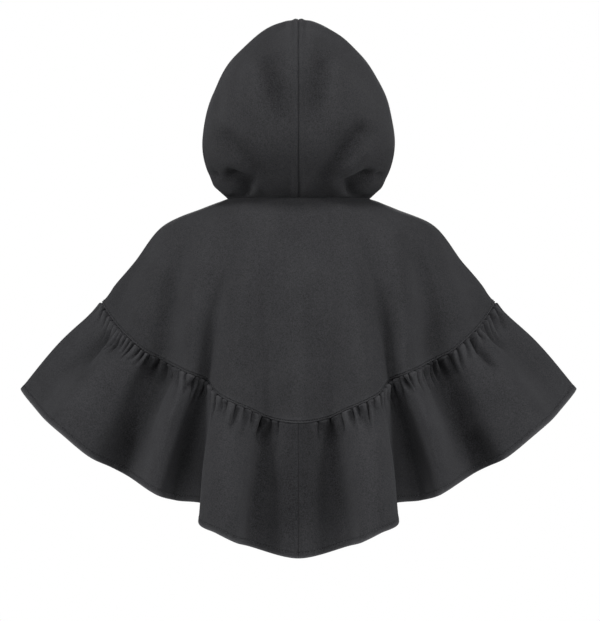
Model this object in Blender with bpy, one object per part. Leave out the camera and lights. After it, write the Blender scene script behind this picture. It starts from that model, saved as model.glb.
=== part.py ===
"""A child's hooded felt cape with a gathered ruffle, filled out as it is worn, seen from behind along +Y.

Sizes are in millimetres until a mesh is made. The back faces -Y, the wearer's right is +X, and the origin
is the middle of the neck opening at the height of the back neck seam.
"""

import math
import random

import bmesh
import bpy
import numpy as np
from mathutils import Vector

MM = 0.001
WALL = 2.2  # thickness of the felt
SEAM_GAP = 0.3  # clearance between two sewn pieces
FRONT_DROP = 28  # how much lower the neck seam is at the front
GATHER_PITCH = 9.8  # mean length of seam line taken by one gather
GATHER_DEPTH = 2.4  # how far a gather's crest and trough stand from the middle of the cloth
GATHER_FADE = 34  # how far below the seam a gather runs out
SMOOTH_AT_SEAM = 24  # length beside the centre back seam that has no gathers
SMOOTH_AT_EDGE = 14  # the same beside the front edges
GATHER_RISE = 8  # how far below the seam a gather is deepest
GATHER_SWELL = 1.2  # how far the gathered cloth as a whole stands out below the seam
GATHER_LENGTHS = (0.55, 1.5)  # the shortest and longest gather, as shares of the mean
GATHER_DEPTHS = (0.55, 1.15)
GATHER_FADES = (0.6, 1.25)
CREST_FROM, CREST_TO = 0.32, 0.7  # a gather's round crest lies between these shares of its length
CREST_SHARE = 0.8  # a crest's height as a share of its trough's depth
SHARP_TURN = 11  # the turn in degrees from which the coarse rows need a column too
SIDE_SEAM_ROW = 12  # the fold line that lies along the shoulder
LEVEL_EDGE_TO = 0.5  # the neck's cut edge turns from level to square with the cloth over this many rings
SEEDS = {"left": 11, "right": 23}  # the gathers of the two halves differ

# The rings from neck to yoke seam, before folds: half width and height at the side, depth and height behind
# and in front, and how much of the folds' depth at the yoke seam each one has. Their sideways and upward parts
# have the square of that share.
RING = ("side_x", "side_z", "back_y", "back_z", "front_y", "front_z", "folded")
RINGS = {
    "neck": (78, -1, -58, -1, 62, -FRONT_DROP, 0.0),
    "collar": (107, -12, -76, -24, 78, -44, 0.0),
    "shoulder": (150, -31.5, -95, -62, 94, -74, 0.1),
    "upper_arm": (180, -70, -113, -122, 106, -118, 0.55),
    "chest": (201, -95, -127, -184, 114, -162, 0.85),
    "yoke_seam": (216, -115, -138, -243, 122, -205, 1.0),
}
RING_BOW = 2.4  # how fast a ring drops from its side towards its middle

# The crest and trough lines of the folds on one half, from centre back round to the front edge: where each
# one leaves the neck, in degrees from centre back, where it crosses the yoke seam and the hem, and how far it
# swings out between these.
FOLD = ("azimuth", "seam_x", "seam_y", "seam_z", "hem_x", "hem_y", "hem_z", "bow")
FOLDS = {
    "centre_back": (0, 0, -141, -243, 0, -169, -385, 2),
    "flute_recess": (12, 35, -125, -237.5, 53, -152, -373, 0),
    "flute_edge": (15.5, 50, -133, -230, 67, -184, -367, 9),
    "flute_crest": (19.5, 71, -138, -221, 86, -182, -358, 9),
    "flute_roll": (24, 87, -125, -211.5, 106, -152, -348, 6),
    "flute_return": (26, 92.5, -116, -204, 99, -128, -332, 3),
    "deep_trough": (28.5, 99, -105, -198, 131, -94, -328, 1),
    "back_crest": (40, 116, -117, -191, 149, -144, -320, 9),
    "arm_trough": (52, 149, -72, -176, 200, -88, -293, 0),
    "arm_slope": (58, 165, -73, -168, 223, -108, -281, 6),
    "arm_crest": (65, 179, -66, -157, 253, -116, -256, 9),
    "arm_hollow": (77, 206, -19, -130, 287, -44, -230, -1),
    "shoulder_line": (90, 216, 0, -115, 306, 0, -210, 5.5),
    "arm_front": (104, 205, 30, -127, 270, 62, -238, 6),
    "front_arm_crest": (116, 182, 62, -146, 222, 110, -270, 9),
    "front_trough": (130, 152, 74, -165, 172, 88, -296, 0),
    "front_crest": (144, 112, 106, -184, 126, 150, -318, 9),
    "front_recess": (158, 68, 108, -199, 78, 122, -335, 0),
    "front_roll": (170, 30, 120, -210, 38, 156, -345, 7),
    "front_edge": (179.4, 5, 121, -214, 9, 148, -348, 3),
}
BOW_AT = 0.45  # where a fold line swings out most, as a share of the ruffle's width

# The levels of a yoke panel's rows above its lower edge, each with the step between the columns it keeps.
NECK_STEP = 3
YOKE_ROWS = (
    (0, NECK_STEP),
    (0.35, 3),
    (0.8, 3),
    (1.3, 3),
    (1.9, 2),
    (2.5, 2),
    (3.1, 2),
    (3.7, 1),
    (4.3, 1),
)
# How far below the seam the ruffle's rows lie, but for the first and the last.
RUFFLE_ROWS = (7, 19, 37, 70, 106)
GATHERED_TO = 25  # rows above this have every column, and those below only some

# Hood sections from neck to forehead: the centre seam, the widest point of the side, and the face edge.
SECTION = ("seam_y", "seam_z", "side_x", "side_y", "side_z", "edge_x", "edge_y", "edge_z")
SECTIONS = {
    "jaw": (-82, 15, 95, -14, 19, 30, 76, -8),
    "cheek": (-105, 46, 104.5, -10, 46, 60, 88, 30),
    "temple": (-115, 86, 104.5, -2, 74, 80, 94, 72),
    "brow": (-109, 126, 96, 4, 111, 83, 98, 112),
    "high": (-86, 162, 77, 12, 145, 70, 98, 145),
    "crown": (-34, 192, 48, 28, 173, 44, 92, 169),
    "front": (28, 196, 24, 60, 186, 22, 84, 180),
    "forehead": (76, 184, 0.4, 78, 184, 0.4, 80, 184),
}

HOOD_ROWS = len(SECTIONS)
# How far up the hood its rows lie, in sections from the neck.
HOOD_HEIGHTS = (0.04, 0.4, 0.75, 1.1, 1.6, 2.2, 2.9, 3.6, 4.3, 5, 5.6, 6.2, 6.8, 7.4, 7.8, HOOD_ROWS)
SIDE_SHARE = 0.56  # how far across a section its widest point lies
ROUND = 0.56  # handle length that makes a quarter round
BEHIND_FROM, BEHIND_TO = -10, 30  # the creases come in over this depth behind the neck's middle

# Soft troughs in the hood, along a line in the back view: both ends, depth, and half width.
CREASE = ("from_x", "from_z", "to_x", "to_z", "depth", "reach")
HOOD_CREASES = {
    "corner_dimple": (-72, 15, -58, 8, 7, 9),
    "corner_fold": (-95, 29, -76, 10, 4, 7),
    "jaw_slope": (-90, 62, -26, 12, 3, 15),
    "beside_seam": (-20, 165, -26, 100, 2.5, 11),
}

BUTTON_RADIUS = 10
BUTTON_THICK = 3.2
BUTTON_STEPS = 24
SHANK_RADIUS = 2.2
SHANK_HEIGHT = 3.4
LOOP_CORD_RADIUS = 1.2
BUTTON_X = 15  # the button's centre, right of the front edges
LOOP_ENDS_X = -14  # where the loop is sewn to the left front
CLOSURE_LEVEL = 0.75  # how far below the neck seam the closure lies, in rings

FELT = (0.034, 0.034, 0.037)
RUFFLE_FELT = (0.036, 0.036, 0.039)
BUTTON_COLOUR = (0.02, 0.02, 0.021)
CORD_COLOUR = (0.026, 0.026, 0.028)


def clear_scene():
    """Empties the file of objects."""
    for thing in list(bpy.data.objects):
        bpy.data.objects.remove(thing, do_unlink=True)


def row(table, columns, name):
    """One row of a table, by its columns' names."""
    return dict(zip(columns, table[name]))


def ease(value, start=0.0, end=1.0):
    """Goes smoothly from 0 at start to 1 at end."""
    t = min(max((value - start) / (end - start), 0.0), 1.0)
    return t * t * (3 - 2 * t)


def unit(vector):
    """The vector at length one."""
    return vector / max(np.linalg.norm(vector), 1e-9)


def spline(knots, values, at):
    """A smooth curve through values at uneven knots."""
    i = int(np.clip(np.searchsorted(knots, at) - 1, 0, len(knots) - 2))

    def slope(k):
        if k == 0 or k == len(knots) - 1:
            j = min(k, len(knots) - 2)
            return (values[j + 1] - values[j]) / (knots[j + 1] - knots[j])
        before = knots[k] - knots[k - 1]
        after = knots[k + 1] - knots[k]
        rise = (values[k] - values[k - 1]) / before * after + (values[k + 1] - values[k]) / after * before
        return rise / (before + after)

    span = knots[i + 1] - knots[i]
    t = (at - knots[i]) / span
    rest = 1 - t
    return (
        values[i] * (1 + 2 * t) * rest * rest
        + slope(i) * span * t * rest * rest
        + values[i + 1] * t * t * (3 - 2 * t)
        - slope(i + 1) * span * t * t * rest
    )


def ring_point(ring, azimuth):
    """A point of an unfolded ring on the wearer's left, at an azimuth from centre back."""
    angle = math.radians(azimuth)
    toward = math.cos(angle)
    middle = "back" if toward > 0 else "front"
    middle_y, middle_z = ring[f"{middle}_y"], ring[f"{middle}_z"]
    drop = abs(toward) ** RING_BOW
    return np.array((-ring["side_x"] * math.sin(angle), middle_y * abs(toward),
                     ring["side_z"] + (middle_z - ring["side_z"]) * drop))


def fold_lines():
    """Each fold's line as a row of points: one on each ring, then below the yoke seam and at the hem."""
    rings = [row(RINGS, RING, name) for name in RINGS]
    lines = []
    for name in FOLDS:
        fold = row(FOLDS, FOLD, name)
        seam = np.array((-fold["seam_x"], fold["seam_y"], fold["seam_z"]), float)
        hem = np.array((-fold["hem_x"], fold["hem_y"], fold["hem_z"]), float)
        relief = seam - ring_point(rings[-1], fold["azimuth"])
        line = []
        for ring in rings:
            share = ring["folded"]
            line.append(ring_point(ring, fold["azimuth"]) + relief * (share**2, share, share**2))
        swing = unit(seam * (1, 1, 0)) * fold["bow"]
        line += [seam + (hem - seam) * BOW_AT + swing, hem]
        lines.append(line)
    return np.array(lines)


LINES = fold_lines()
SEAM_LEVEL = len(RINGS) - 1
HEM_LEVEL = SEAM_LEVEL + 2
LEVELS = np.arange(HEM_LEVEL + 1, dtype=float)
STEPS = (np.linalg.norm(np.diff(LINES[:, SEAM_LEVEL], axis=0), axis=1)
         + np.linalg.norm(np.diff(LINES[:, HEM_LEVEL], axis=0), axis=1)) / 2
AROUND = np.concatenate([[0], np.cumsum(STEPS)])
# The first line is continued by the mirror image of the second, so the two halves meet smoothly.
KNOTS = np.concatenate([[-AROUND[1]], AROUND])
BY_LEVEL = np.concatenate([LINES[1:2] * (-1, 1, 1), LINES]).swapaxes(0, 1)
SIDE_SEAM = AROUND[SIDE_SEAM_ROW]
FRONT_EDGE = AROUND[-1]


def cloth(around, level):
    """A point of the cape's outer surface: around from centre back, less than 0 on the wearer's right."""
    side = -1 if around < 0 else 1
    across = spline(LEVELS, BY_LEVEL, level)
    point = spline(KNOTS, across, abs(around))
    return point * (side, 1, 1)


def outward(around, level):
    """The outward normal of the cape's surface."""
    reach = 1.5
    low, high = max(level - 0.03, 0), min(level + 0.03, HEM_LEVEL)
    along = cloth(around + reach, level) - cloth(around - reach, level)
    if abs(around) + reach > FRONT_EDGE:
        inner = math.copysign(FRONT_EDGE - 2 * reach, around)
        along = (cloth(around, level) - cloth(inner, level)) * (1 if around > 0 else -1)
    down = cloth(around, high) - cloth(around, low)
    normal = unit(np.cross(along, down))
    neck_share = 1 - ease(level, 0, LEVEL_EDGE_TO)
    if neck_share > 0:
        level_normal = unit(np.cross(along * (1, 1, 0), (0, 0, -1)))
        normal = unit(normal * (1 - neck_share) + level_normal * neck_share)
    return normal


def down_length(around, start, end):
    """How long the cloth is from one level to another."""
    places = [cloth(around, level) for level in np.linspace(start, end, 9)]
    return sum(np.linalg.norm(b - a) for a, b in zip(places, places[1:]))


class Shell:
    """A closed felt wall, built from rows of columns that may differ in number from row to row."""

    def __init__(self):
        self.mesh = bmesh.new()
        self.rows = []

    def add_row(self, places, outer, inner):
        """Adds a row of points on both sides of the wall, at column places that only sort and match them."""
        sides = [[self.mesh.verts.new(Vector(p) * MM) for p in points] for points in (outer, inner)]
        self.rows.append((list(places), *sides))

    def face(self, corners):
        """Adds a face, of the corners that differ."""
        distinct = list(dict.fromkeys(corners))
        if len(distinct) > 2:
            self.mesh.faces.new(distinct)

    def join(self, upper, lower, side):
        """Fills between two rows on one side of the wall, going on from whichever row lags behind."""
        a, b = upper[side], lower[side]
        i, j = 0, 0
        while i < len(a) - 1 or j < len(b) - 1:
            next_a = upper[0][i + 1] if i < len(a) - 1 else math.inf
            next_b = lower[0][j + 1] if j < len(b) - 1 else math.inf
            if abs(next_a - next_b) < 1e-6:
                corners = [a[i], b[j], b[j + 1], a[i + 1]]
                i += 1
                j += 1
            elif next_a < next_b:
                corners = [a[i], b[j], a[i + 1]]
                i += 1
            else:
                corners = [a[i], b[j], b[j + 1]]
                j += 1
            self.face(corners if side == 1 else corners[::-1])

    def finish(self, name, material):
        """Fills the wall's two sides and its four edges, and makes the object."""
        for upper, lower in zip(self.rows, self.rows[1:]):
            self.join(upper, lower, 1)
            self.join(upper, lower, 2)
            for end in (0, -1):
                corners = [upper[1][end], upper[2][end], lower[2][end], lower[1][end]]
                self.face(corners if end == 0 else corners[::-1])
        for edge in (0, -1):
            _, outer, inner = self.rows[edge]
            for k in range(len(outer) - 1):
                corners = [outer[k], outer[k + 1], inner[k + 1], inner[k]]
                self.face(corners if edge == 0 else corners[::-1])
        bmesh.ops.recalc_face_normals(self.mesh, faces=self.mesh.faces)
        return put(self.mesh, name, material)


def put(mesh, name, material):
    """Makes an object of a bmesh, shaded smooth."""
    data = bpy.data.meshes.new(name)
    mesh.to_mesh(data)
    mesh.free()
    data.materials.append(material)
    data.shade_smooth()
    data.set_sharp_from_angle(angle=math.radians(50))
    thing = bpy.data.objects.new(name, data)
    bpy.context.collection.objects.link(thing)
    return thing


def make_material(name, colour, roughness):
    """A plain material."""
    material = bpy.data.materials.new(name)
    material.use_nodes = True
    shader = material.node_tree.nodes["Principled BSDF"]
    shader.inputs["Base Color"].default_value = (*colour, 1)
    shader.inputs["Roughness"].default_value = roughness
    shader.inputs["Metallic"].default_value = 0
    return material


def gather_columns(seed):
    """The gathers of one half: a dictionary for each, with its trough's place, length, depth and fade."""
    chance = random.Random(seed)
    fine = np.linspace(0, FRONT_EDGE, 600)
    places = np.array([cloth(a, SEAM_LEVEL) for a in fine])
    run = np.concatenate([[0], np.cumsum(np.linalg.norm(np.diff(places, axis=0), axis=1))])
    first, last = SMOOTH_AT_SEAM, run[-1] - SMOOTH_AT_EDGE
    count = round((last - first) / GATHER_PITCH)
    lengths = np.array([chance.uniform(*GATHER_LENGTHS) for _ in range(count)])
    edges = first + np.concatenate([[0], np.cumsum(lengths)]) * (last - first) / lengths.sum()
    starts = np.interp(edges, run, fine)
    shortening = np.minimum(1, np.diff(edges) / GATHER_PITCH)
    return [
        {
            "start": starts[k],
            "end": starts[k + 1],
            "depth": GATHER_DEPTH * chance.uniform(*GATHER_DEPTHS) * shortening[k],
            "fade": GATHER_FADE * chance.uniform(*GATHER_FADES),
        }
        for k in range(count)
    ]


def ruffle_columns(gathers):
    """The ruffle's columns: place, share of the gather's depth, gather, and whether coarse rows have it."""
    first, last = gathers[0], gathers[-1]
    columns = [(0.0, 0, first, True), (first["start"] / 2, 0, first, False)]
    for gather in gathers:
        length = gather["end"] - gather["start"]
        columns.append((gather["start"], -1, gather, True))
        columns.append((gather["start"] + CREST_FROM * length, CREST_SHARE, gather, False))
        columns.append((gather["start"] + CREST_TO * length, CREST_SHARE, gather, False))
    return columns + [(last["end"], 0, last, True), (FRONT_EDGE, 0, last, True)]


def turn_at(places, before, here):
    """How many degrees a line of places turns at one of them, coming from an earlier one."""
    arriving = unit(places[here] - places[before])
    leaving = unit(places[here + 1] - places[here])
    return math.degrees(math.acos(float(np.clip(arriving @ leaving, -1, 1))))


def bends(columns):
    """Whether the seam or the ruffle's middle turns so sharply at a column that a coarse row needs it too."""
    lines = [[cloth(c[0], level) for c in columns] for level in (SEAM_LEVEL, SEAM_LEVEL + 1)]
    keep = [True]
    last = 0
    for k in range(1, len(columns) - 1):
        wanted = columns[k][3] or max(turn_at(places, last, k) for places in lines) > SHARP_TURN
        keep.append(wanted)
        if wanted:
            last = k
    return keep + [True]


def build_ruffle(name, side, seed, material):
    """One half of the ruffle, from centre back to the front edge."""
    columns = ruffle_columns(gather_columns(seed))
    coarse = bends(columns)
    shell = Shell()
    length = down_length(SIDE_SEAM, SEAM_LEVEL, HEM_LEVEL)
    for drop in (SEAM_GAP / 2, *RUFFLE_ROWS, length):
        level = SEAM_LEVEL + (HEM_LEVEL - SEAM_LEVEL) * drop / length
        fine = drop < GATHERED_TO
        places, outer, inner = [], [], []
        for (around, share, gather, _), kept in zip(columns, coarse):
            if not (fine or kept):
                continue
            fading = ease(drop, SEAM_GAP, GATHER_RISE) * (1 - ease(drop, GATHER_RISE, gather["fade"]))
            lift = (share * gather["depth"] + GATHER_SWELL) * fading
            point = cloth(side * around, level)
            if around == 0:
                point = point + (side * -SEAM_GAP / 2, 0, 0)
            normal = outward(side * around, level) if around else flat_normal(level)
            places.append(around)
            outer.append(point + normal * lift)
            inner.append(point + normal * (lift - WALL))
        shell.add_row(places, outer, inner)
    return shell.finish(name, material)


def flat_normal(level):
    """The normal at centre back, which has no sideways part."""
    normal = outward(1e-6, level)
    return unit(normal * (0, 1, 1))


def thinned(places, step):
    """Every so many of the column places, with the last one always among them."""
    kept = places[:-1:step]
    return [*kept, places[-1]]


def build_yoke(name, parts, material):
    """A yoke panel through the column places around the cape of each of its parts."""
    length = down_length(SIDE_SEAM, SEAM_LEVEL - 1, SEAM_LEVEL)
    lowest = SEAM_LEVEL - SEAM_GAP / 2 / length
    highest = SEAM_GAP / 2 / down_length(SIDE_SEAM, 0, 1)
    shell = Shell()
    for level, step in (*YOKE_ROWS, (lowest, 1)):
        level = max(level, highest)
        kept = sorted({a for part in parts for a in thinned(part, step)})
        outer = [cloth(a, level) for a in kept]
        normals = [outward(a, level) for a in kept]
        shell.add_row(kept, outer, [p - n * WALL for p, n in zip(outer, normals)])
    return shell.finish(name, material)


def panel_places(seed, start, end):
    """Column places of a panel between two places around, matched to the ruffle's columns."""
    columns = ruffle_columns(gather_columns(seed))
    coarse = bends(columns)
    inside = [c[0] for c, kept in zip(columns, coarse) if kept and start + 2 < c[0] < end - 2]
    return [start, *inside, end]


def bezier(points, t):
    """A point of a cubic Bezier curve."""
    rest = 1 - t
    return (points[0] * rest**3 + points[1] * 3 * t * rest * rest
            + points[2] * 3 * t * t * rest + points[3] * t**3)


def section_point(section, across):
    """A point of a hood section on the wearer's left: across goes from the centre seam to the face edge."""
    seam = np.array((0, section["seam_y"], section["seam_z"]), float)
    side = np.array((-section["side_x"], section["side_y"], section["side_z"]), float)
    edge = np.array((-section["edge_x"], section["edge_y"], section["edge_z"]), float)
    if across < SIDE_SHARE:
        handles = (seam, seam + (side - seam) * (ROUND * 1.06, 0.02, 0.1),
                   side + (seam - side) * (0, ROUND, ROUND * 0.8), side)
        return bezier(handles, across / SIDE_SHARE)
    reach = edge - side
    handles = (side, side + reach * (0.02, 0.42, 0.35), edge - reach * (0.45, 0.3, 0.4), edge)
    return bezier(handles, (across - SIDE_SHARE) / (1 - SIDE_SHARE))


def hood_skin(across, height):
    """A point of the hood's surface on the wearer's left, before creases, at a height in sections."""
    line = [cloth(across_to_neck(across), 0)]
    line += [section_point(row(SECTIONS, SECTION, name), across) for name in SECTIONS]
    return spline(np.arange(HOOD_ROWS + 1, dtype=float), np.array(line), height)


def across_to_neck(across):
    """The place around the neck seam where a column of the hood starts."""
    return float(np.interp(across, (0, SIDE_SHARE, 1), (0, SIDE_SEAM, FRONT_EDGE)))


def hood_columns(seed):
    """The hood's columns, which stand on the columns of the yoke's top row."""
    behind = thinned(panel_places(seed, 0, SIDE_SEAM), NECK_STEP)
    before = thinned(panel_places(seed, SIDE_SEAM, FRONT_EDGE), NECK_STEP)
    return [float(np.interp(a, (0, SIDE_SEAM, FRONT_EDGE), (0, SIDE_SHARE, 1))) for a in behind + before[1:]]


def crease_depth(point):
    """How deep the creases press the hood in at a point of its back half."""
    depth = 0.0
    behind = ease(-point[1], BEHIND_FROM, BEHIND_TO)
    for name in HOOD_CREASES:
        crease = row(HOOD_CREASES, CREASE, name)
        start = np.array((crease["from_x"], crease["from_z"]), float)
        run = np.array((crease["to_x"], crease["to_z"])) - start
        here = point[[0, 2]] - start
        t = float(np.clip(here @ run / (run @ run), 0, 1))
        away = np.linalg.norm(here - run * t)
        depth += crease["depth"] * math.exp(-((away / crease["reach"]) ** 2)) * behind
    return depth


def hood_normal(across, height):
    """The outward normal of the hood's surface."""
    low_a, high_a = max(across - 0.02, 0), min(across + 0.02, 1)
    low_h, high_h = max(height - 0.06, 0), min(height + 0.06, HOOD_ROWS - 0.15)
    if high_h - low_h < 0.05:
        low_h = high_h - 0.05
    along = hood_skin(high_a, height) - hood_skin(low_a, height)
    up = hood_skin(across, high_h) - hood_skin(across, low_h)
    normal = unit(np.cross(up, along))
    neck_share = 1 - ease(height, 0, LEVEL_EDGE_TO)
    if neck_share > 0:
        flat = unit(np.cross((0, 0, 1), along * (1, 1, 0)))
        normal = unit(normal * (1 - neck_share) + flat * neck_share)
    if across == 0:
        normal = unit(normal * (0, 1, 1))
    return normal


def build_hood(name, side, seed, material):
    """One half of the hood."""
    shell = Shell()
    shares = hood_columns(seed)
    for height in HOOD_HEIGHTS:
        outer, inner = [], []
        for across in shares:
            skin = hood_skin(across, height)
            normal = hood_normal(across, height)
            point = skin - normal * crease_depth(skin) * ease(height, 0, LEVEL_EDGE_TO)
            if across == 0:
                point = point - (SEAM_GAP / 2, 0, 0)
            within = point - normal * WALL
            point[0] = min(point[0], -SEAM_GAP / 2)
            within[0] = min(within[0], -SEAM_GAP / 2)
            if height == HOOD_HEIGHTS[0]:
                point[2] = skin_foot(across) + SEAM_GAP
                within[2] = point[2]
            outer.append(point * (side, 1, 1))
            inner.append(within * (side, 1, 1))
        shell.add_row(shares, outer, inner)
    return shell.finish(name, material)


def skin_foot(across):
    """The height of the neck seam below a column of the hood."""
    return cloth(across_to_neck(across), 0)[2]


def front_place(x, level):
    """The place around where the cape's front crosses a given x."""
    low, high = AROUND[-4], FRONT_EDGE
    for _ in range(30):
        middle = (low + high) / 2
        if abs(cloth(middle, level)[0]) > abs(x):
            low = middle
        else:
            high = middle
    return math.copysign(high, -x)


def above_front(x, down, lift):
    """A point that lies lift above the fronts' outer surface, at an x and a distance below the closure."""
    level = CLOSURE_LEVEL + down / down_length(FRONT_EDGE, 0, 1)
    around = front_place(x, level)
    return cloth(around, level) + outward(around, level) * lift


def build_button(material):
    """The round button on its shank, on the right front."""
    top = SHANK_HEIGHT + BUTTON_THICK
    edge = BUTTON_THICK * 0.3
    profile = [
        (0, 0),
        (SHANK_RADIUS, 0),
        (SHANK_RADIUS, SHANK_HEIGHT),
        (BUTTON_RADIUS - edge, SHANK_HEIGHT),
        (BUTTON_RADIUS, SHANK_HEIGHT + edge),
        (BUTTON_RADIUS, top - edge),
        (BUTTON_RADIUS - edge, top),
        (BUTTON_RADIUS * 0.7, top - edge * 0.5),
        (0, top - edge * 0.5),
    ]
    mesh = bmesh.new()
    line = [mesh.verts.new(Vector((r, 0, z)) * MM) for r, z in profile]
    edges = [mesh.edges.new(pair) for pair in zip(line, line[1:])]
    turn = {"cent": (0, 0, 0), "axis": (0, 0, 1), "angle": math.tau, "steps": BUTTON_STEPS}
    bmesh.ops.spin(mesh, geom=line + edges, **turn)
    bmesh.ops.remove_doubles(mesh, verts=mesh.verts, dist=0.00001)
    bmesh.ops.recalc_face_normals(mesh, faces=mesh.faces)
    button = put(mesh, "button", material)
    facing = Vector(outward(front_place(BUTTON_X, CLOSURE_LEVEL), CLOSURE_LEVEL))
    button.location = Vector(above_front(BUTTON_X, 0, SEAM_GAP)) * MM
    button.rotation_mode = "QUATERNION"
    button.rotation_quaternion = facing.to_track_quat("Z", "Y")
    return button


def build_loop(material):
    """The cord loop sewn to the left front, round the button's shank."""
    turn = SHANK_RADIUS + LOOP_CORD_RADIUS + 2 * SEAM_GAP
    lift = LOOP_CORD_RADIUS + SEAM_GAP
    straight = np.linspace(LOOP_ENDS_X, BUTTON_X, 9)[:-1]
    bend = [math.radians(a) for a in np.linspace(-90, 90, 9)]
    path = [(x, -turn) for x in straight]
    path += [(BUTTON_X + turn * math.cos(a), turn * math.sin(a)) for a in bend]
    path += [(x, turn) for x in straight[::-1]]
    curve = bpy.data.curves.new("button_loop", "CURVE")
    curve.dimensions = "3D"
    curve.bevel_depth = LOOP_CORD_RADIUS * MM
    curve.bevel_resolution = 1
    curve.use_fill_caps = True
    curve.materials.append(material)
    run = curve.splines.new("POLY")
    run.points.add(len(path) - 1)
    for place, (x, down) in zip(run.points, path):
        place.co = (*(Vector(above_front(x, down, lift)) * MM), 1)
    loop = bpy.data.objects.new("button_loop", curve)
    bpy.context.collection.objects.link(loop)
    return loop


def main():
    """Builds every piece of the cape."""
    clear_scene()
    hood_felt = make_material("hood_felt", FELT, 0.95)
    yoke_felt = make_material("yoke_felt", FELT, 0.95)
    ruffle_felt = make_material("ruffle_felt", RUFFLE_FELT, 0.95)
    gap = SEAM_GAP / 2
    behind = []
    for half, side in (("left", 1), ("right", -1)):
        seed = SEEDS[half]
        build_hood(f"hood_{half}", side, seed, hood_felt)
        build_ruffle(f"ruffle_{half}", side, seed, ruffle_felt)
        front = [side * a for a in panel_places(seed, SIDE_SEAM + gap, FRONT_EDGE)]
        build_yoke(f"front_{half}", [front], yoke_felt)
        behind.append([side * a for a in panel_places(seed, 0, SIDE_SEAM - gap)])
    build_yoke("back", behind, yoke_felt)
    build_button(make_material("button", BUTTON_COLOUR, 0.4))
    build_loop(make_material("loop_cord", CORD_COLOUR, 0.8))


main()
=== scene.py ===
import math
import random

import bmesh
import bpy
import numpy as np
from mathutils import Matrix, Vector


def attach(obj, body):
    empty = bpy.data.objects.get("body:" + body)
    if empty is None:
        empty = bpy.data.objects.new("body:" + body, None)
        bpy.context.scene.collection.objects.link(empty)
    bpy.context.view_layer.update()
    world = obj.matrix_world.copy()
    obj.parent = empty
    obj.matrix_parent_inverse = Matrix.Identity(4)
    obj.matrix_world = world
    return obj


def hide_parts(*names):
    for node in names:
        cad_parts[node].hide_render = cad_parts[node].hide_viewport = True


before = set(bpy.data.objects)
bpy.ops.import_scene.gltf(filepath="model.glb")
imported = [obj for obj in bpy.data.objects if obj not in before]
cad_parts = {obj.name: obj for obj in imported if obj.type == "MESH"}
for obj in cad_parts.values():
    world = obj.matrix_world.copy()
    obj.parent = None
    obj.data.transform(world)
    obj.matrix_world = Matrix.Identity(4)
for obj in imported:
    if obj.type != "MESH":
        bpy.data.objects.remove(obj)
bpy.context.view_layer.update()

# Sizes are in millimetres until a mesh is made. The photographed back faces -Y, the wearer's right +X.
mm = 0.001
photo = {
    "width": 600,
    "height": 621,
    "scale": 1.1,  # millimetres for each picture unit in the plane of the neck
    "originX": 298.5,
    "originY": 198,
    "distance": 4000,
    "eyeDrop": 124,  # how far the camera stands below the neck
}
wall = 2.2  # the felt's thickness
frontDrop = 28  # how much lower the neck lies at the front
ringBow = 2.4  # how late a ring leaves its side's height on the way to its middle
bowAt = 0.45  # where the ruffle bows out, from its seam to its hem
levelEdgeTo = 0.5  # up to this level the cloth's thickness lies flat, as its neck edge does
sideSeamRow = 12  # the fold line on which the back and the fronts are joined
rim = 1.0  # how far below the cloth's face its turned edges meet
seamLap = 0.2  # how far each piece reaches past its seam, under the next one
levelLength = 65  # from one level to the next, beside the yoke seam
seeds = {"left": 11, "right": 23, "back": 60}

ringColumns = ("sideX", "sideZ", "backY", "backZ", "frontY", "frontZ", "folded")
rings = {
    "neck": (78, -1, -58, -1, 62, -frontDrop, 0.0),
    "collar": (107, -12, -76, -24, 78, -44, 0.0),
    "shoulder": (150, -31.5, -95, -62, 94, -74, 0.1),
    "upperArm": (180, -70, -113, -122, 106, -118, 0.55),
    "chest": (201, -95, -127, -184, 114, -162, 0.85),
    "yokeSeam": (216, -115, -138, -243, 122, -205, 1.0),
}
foldColumns = ("azimuth", "seamX", "seamY", "seamZ", "hemX", "hemY", "hemZ", "bow")
folds = {
    "centreBack": (0, 0, -141, -243, 0, -169, -385, 2),
    "fluteRecess": (12, 35, -125, -237.5, 53, -152, -373, 0),
    "fluteEdge": (15.5, 50, -133, -230, 67, -184, -367, 9),
    "fluteCrest": (19.5, 71, -138, -221, 86, -182, -358, 9),
    "fluteRoll": (24, 87, -125, -211.5, 106, -152, -348, 6),
    "fluteReturn": (26, 92.5, -116, -204, 99, -128, -332, 3),
    "deepTrough": (28.5, 99, -105, -198, 131, -94, -328, 1),
    "backCrest": (40, 116, -117, -191, 149, -144, -320, 9),
    "armTrough": (52, 149, -72, -176, 200, -88, -293, 0),
    "armSlope": (58, 165, -73, -168, 223, -108, -281, 6),
    "armCrest": (65, 179, -66, -157, 253, -116, -256, 9),
    "armHollow": (77, 206, -19, -130, 287, -44, -230, -1),
    "shoulderLine": (90, 216, 0, -115, 306, 0, -210, 5.5),
    "armFront": (104, 205, 30, -127, 270, 62, -238, 6),
    "frontArmCrest": (116, 182, 62, -146, 222, 110, -270, 9),
    "frontTrough": (130, 152, 74, -165, 172, 88, -296, 0),
    "frontCrest": (144, 112, 106, -184, 126, 150, -318, 9),
    "frontRecess": (158, 68, 108, -199, 78, 122, -335, 0),
    "frontRoll": (170, 30, 120, -210, 38, 156, -345, 7),
    "frontEdge": (179.4, 5, 121, -214, 9, 148, -348, 3),
}
sectionColumns = ("seamY", "seamZ", "sideX", "sideY", "sideZ", "edgeX", "edgeY", "edgeZ")
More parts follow.
